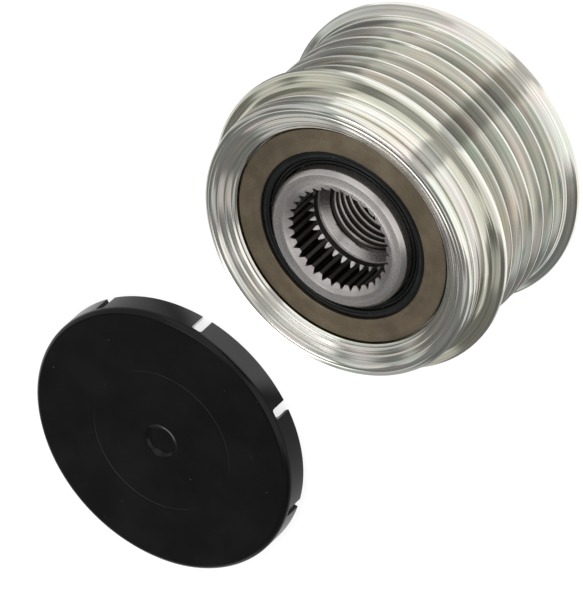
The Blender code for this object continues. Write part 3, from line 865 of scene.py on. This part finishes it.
FRONT_FACE = [(20.95, 32.3, 0.06), (21.2, 32.62, 0.08), (21.55, 32.76, 0.1), (21.8, 32.94, 0.1),
              (22.7, 33.34, 0.12), (22.85, 33.5, 0.1), (23.9, 33.98, 0.12), (24.05, 34.15, 0.1),
              (24.55, 34.43, 0.2), (24.9, 34.56, 0.25), (25.35, 34.5, 0.25), (25.45, 34.42, 0.1),
              (26.0, 34.2, 0.4), (26.4, 33.85, 0.3)]
NOSE = [(26.4, 33.2, 0.08), (26.02, 33.1, 0.1), (26.02, 32.72, 0.12), (26.5, 32.58, 0.08),
        (26.5, 32.04, 0.12), (26.15, 31.82, 0.15), (26.15, 30.72, 0.15), (26.4, 30.5, 0.12),
        (26.4, 28.6, 0.4), (26.9, 27.8, 0.4)]
FRONT_FLANGE = [(28.5, 27.0, 0.15), (29.0, 26.5, 0.12), (29.0, 26.05, 0.2), (28.9, 25.45, 0.3),
                (28.3, 24.9, 0.3)]
REAR_AND_BORE = [(27.4, 2.6, 0.4), (28.7, 1.7, 0.15), (29.0, 1.4, 0.15), (29.0, 0.5, 0.15), (28.5, 0.0, 0.15),
                 (21.59, 0.0, 0.1), (20.95, 0.64, 0.1), (20.95, 2.3, 0.05), (20.1, 2.3, 0.1),
                 (20.1, 31.018, 0.1), (20.95, 31.018, 0.05)]
pulley_profile = FRONT_FACE + NOSE + FRONT_FLANGE + belt_track() + REAR_AND_BORE
pulley = lathe("belt_pulley_turned", soften(pulley_profile), PULLEY_AXIS)
dress(pulley, "belt_pulley", "pulley", "zinc_plated_steel", ZINC)

# %% [markdown]
# ## The seals
#
# A flat ring of phosphated steel is pressed into each end, and a rubber lip is moulded to
# its inner edge. At the front the rubber shows as a rounded bead, a groove, and a thin
# lip that leans on the hub. The rear seal is the same, turned over.

# %% Seal rings and lips
SEAL_RING = [(20.65, 0, 0.18), (20.65, -1.1, 0.1), (16.3, -1.1, 0.1), (16.3, 0, 0.25)]
SEAL_LIP = [(16.28, -0.52, 0.1), (16.28, -1.1, 0.05), (17.75, -1.1, 0.1), (17.75, -2.2, 0.2),
            (14.4, -2.2, 0.3), (13.75, -1.17, 0.15), (13.78, -0.75, 0.12), (14.1, -0.67, 0.12),
            (14.3, -1.12, 0.2), (14.75, -1.12, 0.2), (14.95, -0.47, 0.25), (15.6, -0.4, 0.3),
            (16.0, -0.49, 0.1)]
SEAL_FACES = {"front": 32.118, "rear": 1.2}


def make_seal(end):
    """The pressed ring and the rubber moulded to it; heights count from the ring's face."""
    for section, kind, slot, material in ((SEAL_RING, "ring_pressed", "phosphated_steel", PHOSPHATE),
                                          (SEAL_LIP, "lip_moulded", "seal_rubber", RUBBER)):
        if end == "rear":
            section = [(radius, -z, softness) for radius, z, softness in reversed(section)]
        piece = lathe(f"{end}_seal_{kind}", soften(section), PULLEY_AXIS, height=SEAL_FACES[end])
        dress(piece, f"{end}_seal_{kind.split('_')[0]}", "pulley", slot, material)


make_seal("front")
make_seal("rear")

# %% [markdown]
# ## The hub
#
# The inner ring carries 33 V-shaped serrations for the fitting key, a countersink that
# leads the key in, and below a shelf the screw thread of the alternator's shaft. A lathe
# can't make these, because the radius changes round the axis, so the hub is one grid:
# columns run round it, rows run along its skin, and each point's radius and height come
# from its row and its angle. The thread's rows climb with the angle, so its crests stay
# crisp, and the socket's rows follow the line where the grooves meet the countersink.

# %% Serrations and thread
TEETH = 33
COLUMN_PLACES = (-0.5, -0.41, -0.335, -0.295, -0.2, -0.06, 0.0, 0.06, 0.2, 0.295, 0.335, 0.41)
COLUMNS_PER_TOOTH = len(COLUMN_PLACES)
TOOTH_TIP_RADIUS = 9.3
GROOVE_BOTTOM_RADIUS = 10.1
GROOVE_HALF_SHARE = 0.31
GROOVE_FLAT_SHARE = 0.05
HUB_FRONT = 33.717
SPLINE_END = HUB_FRONT - 7.75
SHELF = SPLINE_END - 1.55
SHELF_RADIUS = 9.15
THREAD_TOP = SHELF - 1.8
THREAD_FOOT = 8.0
THREAD_PITCH = 1.5
THREAD_CREST = 7.22
THREAD_ROOT = 7.98
THREAD_ROWS = 10
CREST_SHARE = 0.14
FLANK_SHARE = 0.68
ROOT_ROUNDING = 1.25
LEAD_FOOT = 7.6
LEAD_SLOPE = (SHELF_RADIUS - LEAD_FOOT) / (SHELF - THREAD_TOP)


def groove_radius(place):
    """Radius of the socket at a place in a tooth's pitch, 0 in the middle of the groove."""
    past_flat = max(abs(place) - GROOVE_FLAT_SHARE, 0)
    share = max(0.0, 1 - past_flat / (GROOVE_HALF_SHARE - GROOVE_FLAT_SHARE))
    return TOOTH_TIP_RADIUS + (GROOVE_BOTTOM_RADIUS - TOOTH_TIP_RADIUS) * share


def thread_radius(turns):
    """Radius of the screw thread at a share of its pitch: flat crest, flanks, rounded root."""
    place = abs(turns % 1.0 - 0.5) * 2
    rise = min(max((place - CREST_SHARE) / FLANK_SHARE, 0.0), 1.0)
    return THREAD_CREST + (THREAD_ROOT - THREAD_CREST) * (1 - (1 - rise) ** ROOT_ROUNDING)


def threaded_bore(place, angle):
    """Radius and height in the bore, from the shelf (place 0) down to the pilot bore."""
    climb = THREAD_PITCH * angle / (2 * math.pi)
    z = min(max(SHELF - place + climb, THREAD_FOOT), SHELF)
    radius = thread_radius((z - climb) / THREAD_PITCH)
    lead = LEAD_FOOT + (z - THREAD_TOP) * LEAD_SLOPE
    tail = LEAD_FOOT + (THREAD_FOOT - z) * LEAD_SLOPE
    return max(radius, lead, tail), z


print(TEETH, "serrations of", COLUMNS_PER_TOOTH, "columns, thread from", THREAD_FOOT, "to", round(SHELF, 3))

# %% Rows of the hub
FACE_INNER_RADIUS = 10.9
RELIEF_RADIUS = 9.42
PILOT_RADIUS = 8.6
PILOT_TOP = 6.4
HUB_REAR = 0.4
JOURNAL_RADIUS = 13.45
MEETING_EDGE = 0.06
GROOVE_END_LIFT = 0.02
CONE_SLOPE = math.tan(math.radians(60))
CONE_START = (FACE_INNER_RADIUS - 0.12, HUB_FRONT - 0.1)
HUB_FACE = [(12.4, HUB_FRONT), (11.0, HUB_FRONT), (10.93, HUB_FRONT - 0.015)]
SOCKET_ROWS = (32.5, 30.0, 28.0)
BELOW_SOCKET = [(TOOTH_TIP_RADIUS, SPLINE_END - 0.04), (RELIEF_RADIUS, SPLINE_END - 0.16),
                (RELIEF_RADIUS, SHELF + 0.2), (9.3, SHELF + 0.05), (SHELF_RADIUS, SHELF)]
PILOT_AND_BACK = [(PILOT_RADIUS, PILOT_TOP), (PILOT_RADIUS, 0.7), (8.8, HUB_REAR), (12.7, HUB_REAR)]
OUTSIDE = [(JOURNAL_RADIUS, 1.15), (JOURNAL_RADIUS, 12.0), (JOURNAL_RADIUS, 22.0),
           (JOURNAL_RADIUS, HUB_FRONT - 0.85), (13.4, HUB_FRONT - 0.72),
           (12.78, HUB_FRONT - 0.06), (12.68, HUB_FRONT)]


def fixed(points):
    """Rows that are plain circles."""
    return [lambda place, angle, point=point: point for point in points]


def meeting(place):
    """Where the countersink meets the socket, higher on the teeth than in the grooves."""
    depth = (FACE_INNER_RADIUS - groove_radius(place)) / CONE_SLOPE
    return groove_radius(place), HUB_FRONT - depth


def on_cone(share):
    """A row on the countersink, from its start (0) to where it meets the socket (1)."""
    def row(place, angle):
        radius, z = meeting(place)
        return (CONE_START[0] + (radius - CONE_START[0]) * share,
                CONE_START[1] + (z - CONE_START[1]) * share)
    return row


def groove_end(place, angle):
    """The sloped end of a groove, where the cutter ran out."""
    radius = groove_radius(place)
    return radius, SPLINE_END + radius - TOOTH_TIP_RADIUS + GROOVE_END_LIFT


def hub_rows():
    """Functions (place in tooth, angle) -> (radius, height), round the section of the hub."""
    rows = fixed(HUB_FACE)
    rows += [on_cone(share) for share in (0.0, 0.5, 1.0)]
    rows += [lambda place, angle: (meeting(place)[0], meeting(place)[1] - MEETING_EDGE)]
    rows += [lambda place, angle, z=z: (groove_radius(place), z) for z in SOCKET_ROWS]
    rows += [groove_end] + fixed(BELOW_SOCKET)
    first = len(rows)
    count = math.ceil((SHELF - THREAD_FOOT + THREAD_PITCH) / THREAD_PITCH * THREAD_ROWS) + 1
    step = THREAD_PITCH / THREAD_ROWS
    rows += [lambda place, angle, k=k: threaded_bore(k * step, angle) for k in range(count)]
    last = len(rows) - 1
    return rows + fixed(PILOT_AND_BACK + OUTSIDE), first, last


print("the hub's section has", len(hub_rows()[0]), "rows")

# %% Hub grid
MERGE_REACH = 0.002
SHARP_EDGE = 28


def make_hub():
    """The hub as one grid of rows and columns, closed with a step of one thread."""
    rows, thread_first, thread_last = hub_rows()
    columns = TEETH * COLUMNS_PER_TOOTH
    tooth_turn = 2 * math.pi / TEETH
    verts = []
    for row in rows:
        for j in range(columns):
            tooth, k = divmod(j, COLUMNS_PER_TOOTH)
            angle = (tooth + COLUMN_PLACES[k]) * tooth_turn
            radius, z = row(COLUMN_PLACES[k], angle + tooth_turn / 2)
            verts.append((radius * math.cos(angle) * MM, radius * math.sin(angle) * MM, z * MM))

    def met_by(row):
        """The row of the first column that a row of the last one meets, one thread higher."""
        if thread_first <= row <= thread_last:
            return max(row - THREAD_ROWS, thread_first)
        return row

    faces = []
    for i in range(len(rows)):
        below = (i + 1) % len(rows)
        for j in range(columns - 1):
            faces.append((i * columns + j, i * columns + j + 1,
                          below * columns + j + 1, below * columns + j))
        last = columns - 1
        seam = (i * columns + last, met_by(i) * columns,
                met_by(below) * columns, below * columns + last)
        faces.append(tuple(dict.fromkeys(seam)))
    mesh = bpy.data.meshes.new("inner_ring_splined")
    mesh.from_pydata(verts, [], [face for face in faces if len(face) > 2])
    form = bmesh.new()
    form.from_mesh(mesh)
    bmesh.ops.remove_doubles(form, verts=form.verts, dist=MERGE_REACH * MM)
    bmesh.ops.recalc_face_normals(form, faces=form.faces)
    form.to_mesh(mesh)
    form.free()
    mesh.shade_smooth()
    mesh.set_sharp_from_angle(angle=math.radians(SHARP_EDGE))
    hub = add_object("inner_ring_splined", mesh)
    hub.location = PULLEY_AXIS
    return hub


dress(make_hub(), "inner_ring", "hub", "hub_steel", HUB_STEEL)

# %% [markdown]
# ## The dust cap
#
# The cap is moulded: a flat disc with a rounded edge, a small dimple where the plastic was
# let into the mould, and a skirt with a snap bead inside and eight notches that let it
# spring over the rim. The disc is turned, and the notches are cut with rounded punches.

# %% Punch for the notches
NOTCH_COUNT = 8
NOTCH_FIRST = 22.5
NOTCH_HALF_WIDTH = 1.0
NOTCH_HEIGHT = 4.0
NOTCH_CORNER = 0.45
NOTCH_CORNER_STEPS = 5
PUNCH_RADII = (25.0, 28.5)
PUNCH_FOOT = -1.0


def notch_punch():
    """One cutter with eight rounded prongs, for the notches in the skirt."""
    form = bmesh.new()
    outline = [(-NOTCH_HALF_WIDTH, PUNCH_FOOT), (NOTCH_HALF_WIDTH, PUNCH_FOOT)]
    for side in (1, -1):
        for step in range(NOTCH_CORNER_STEPS + 1):
            turn = math.radians(90) * step / NOTCH_CORNER_STEPS
            turn = turn if side > 0 else math.radians(90) - turn
            outline.append((side * (NOTCH_HALF_WIDTH - NOTCH_CORNER + NOTCH_CORNER * math.cos(turn)),
                            NOTCH_HEIGHT - NOTCH_CORNER + NOTCH_CORNER * math.sin(turn)))
    for i in range(NOTCH_COUNT):
        turned = Matrix.Rotation(math.radians(NOTCH_FIRST + 360 / NOTCH_COUNT * i), 4, "Z")
        ends = []
        for radius in PUNCH_RADII:
            ends.append([form.verts.new(turned @ Vector((radius, y, z)) * MM) for y, z in outline])
        form.faces.new(ends[0][::-1])
        form.faces.new(ends[1])
        for j in range(len(outline)):
            k = (j + 1) % len(outline)
            form.faces.new((ends[0][j], ends[0][k], ends[1][k], ends[1][j]))
    bmesh.ops.recalc_face_normals(form, faces=form.faces)
    mesh = bpy.data.meshes.new("notch_punch")
    form.to_mesh(mesh)
    form.free()
    return mesh


print("punch with", NOTCH_COUNT, "prongs,", 2 * NOTCH_HALF_WIDTH, "mm wide")

# %% Cap
CAP_TOP = [(0, 4.72, 0), (2.8, 4.7, 0.35), (3.25, 5.22, 0.12), (3.45, 5.3, 0.1), (14.4, 5.3, 0.05),
           (14.6, 5.285, 0.05), (14.8, 5.3, 0.05), (26.75, 5.3, 0.3), (27.5, 4.6, 0.45)]
CAP_SKIRT = [(27.5, 0.0, 0.15), (26.7, 0.0, 0.15)]
CAP_INSIDE = [(26.7, 2.34, 0.1), (26.1, 2.64, 0.15), (26.7, 2.94, 0.1), (26.7, 4.3, 0.4), (0, 4.3, 0)]


def make_cap():
    """The turned cap with its notches cut, as a plain mesh without a modifier."""
    profile = soften(CAP_TOP + CAP_SKIRT + CAP_INSIDE, closed=False)
    cap = lathe("dust_cap_moulded", profile, CAP_AXIS, segments=288, closed=False)
    punch = add_object("notch_punch", notch_punch())
    punch.location = CAP_AXIS
    boolean = cap.modifiers.new("notches", "BOOLEAN")
    boolean.object = punch
    boolean.solver = "EXACT"
    graph = bpy.context.evaluated_depsgraph_get()
    mesh = bpy.data.meshes.new_from_object(cap.evaluated_get(graph))
    cap.modifiers.clear()
    cap.data = mesh
    bpy.data.objects.remove(punch)
    mesh.name = "dust_cap_moulded"
    return cap


dress(make_cap(), "dust_cap", "pulley", "cap_plastic", CAP_PLASTIC)

# %% [markdown]
# ## Rollers
#
# The rollers are ground cylinders with crowned ends, so they roll without digging in. All
# the rollers of one kind share one mesh. Each bearing roller rides on a body of its own,
# because it spins about its own axis, and the clutch rollers go round with the hub.

# %% Bearing and clutch rollers
BEARING_ROLLERS = 12
CLUTCH_ROLLERS = 8


def roller_mesh(name, radius, length):
    """A ground roller about its own axis, with its origin at mid length."""
    half = length / 2
    upper = [(0, half, 0), (radius - 0.45, half - 0.01, 0.2), (radius - 0.02, half - 0.2, 0.2),
             (radius, half - 0.8, 0.5)]
    lower = [(across, -z, softness) for across, z, softness in reversed(upper)]
    model = lathe(name, soften(upper + lower, closed=False), Vector(), segments=32, closed=False)
    mesh = model.data
    bpy.data.objects.remove(model)
    mesh.materials.append(BEARING_STEEL)
    return mesh


def set_rollers(node_names, body_of_node, mesh_name):
    """Puts one shared roller mesh in the place of each named node."""
    low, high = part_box(node_names[0])
    mesh = roller_mesh(mesh_name, (high.x - low.x) / 2 / MM, (high.z - low.z) / MM)
    for node in node_names:
        low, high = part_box(node)
        roller = add_object(f"{node}_ground", mesh)
        roller.location = (low + high) / 2
        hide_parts(node)
        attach(roller, body_of_node(node))
    print(len(node_names), "rollers in", mesh_name)


BEARING_NODES = [f"{end}_bearing_roller_{i + 1:02d}"
                 for end in ("front", "rear") for i in range(BEARING_ROLLERS)]
CLUTCH_NODES = [f"clutch_roller_{i + 1}" for i in range(CLUTCH_ROLLERS)]
set_rollers(BEARING_NODES, lambda node: node.replace("_bearing", ""), "bearing_roller_ground")
set_rollers(CLUTCH_NODES, lambda node: "hub", "clutch_roller_ground")

# %% [markdown]
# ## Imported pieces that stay
#
# The cages, the clutch's ramp sleeve, the outer race and the springs have the right shape
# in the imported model. They keep their meshes and only get their real finish.

# %% Finish the carried-over pieces
def finish_node(node, material):
    """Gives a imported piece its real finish."""
    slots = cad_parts[node].data.materials
    slots.clear()
    slots.append(material)


KEPT_PIECES = {name: CAGE_NYLON for name in ("front_bearing_cage", "rear_bearing_cage", "clutch_cage")}
KEPT_PIECES.update({name: BEARING_STEEL for name in ("clutch_ramp_sleeve", "clutch_outer_race")})
KEPT_PIECES.update({f"clutch_spring_{i + 1}": SPRING_STEEL for i in range(CLUTCH_ROLLERS)})
for name, material in KEPT_PIECES.items():
    finish_node(name, material)
print(len(KEPT_PIECES), "packed pieces finished")
